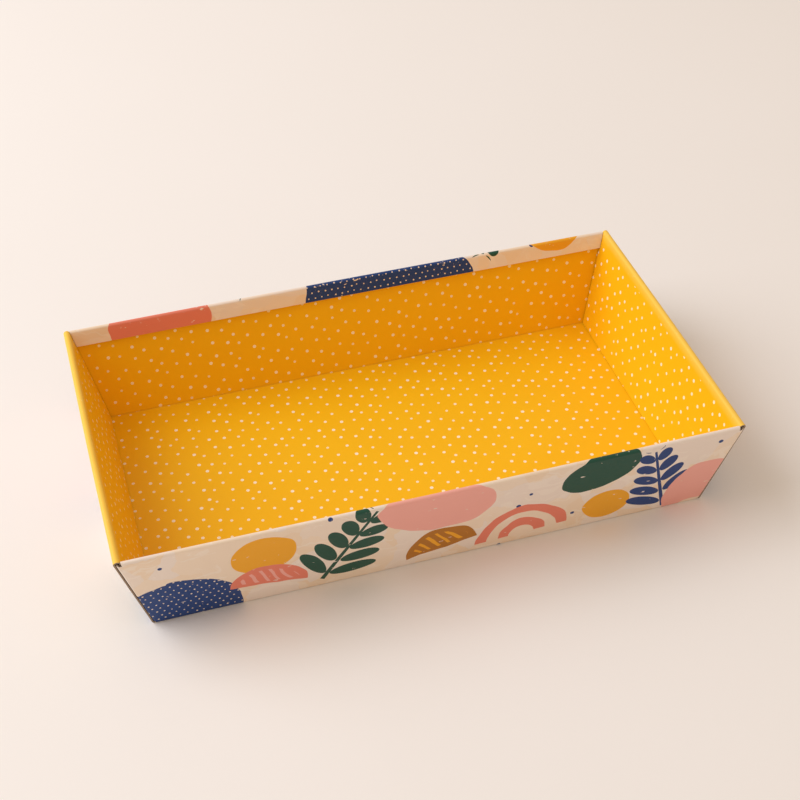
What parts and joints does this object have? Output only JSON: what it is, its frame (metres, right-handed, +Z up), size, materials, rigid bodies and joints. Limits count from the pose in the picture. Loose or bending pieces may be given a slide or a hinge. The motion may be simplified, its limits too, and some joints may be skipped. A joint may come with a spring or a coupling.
{
  "type": "cardboard gift box",
  "caption": "Open rectangular gift tray with flared walls, folded from printed board, with hemmed long walls and end walls that roll over into the tray.",
  "frame": {"origin": "middle of the flat base, on the surface that the tray stands on", "axes": "+X along the tray's length, +Y towards its back wall, +Z up"},
  "size_m": [0.3, 0.1732, 0.054],
  "materials": {
    "printed_board": "satin print, yellow with white pin dots inside and a cut-paper style print on cream outside"
  },
  "bodies": {
    "root": {"tray": "printed_board"}
  },
  "joints": []
}
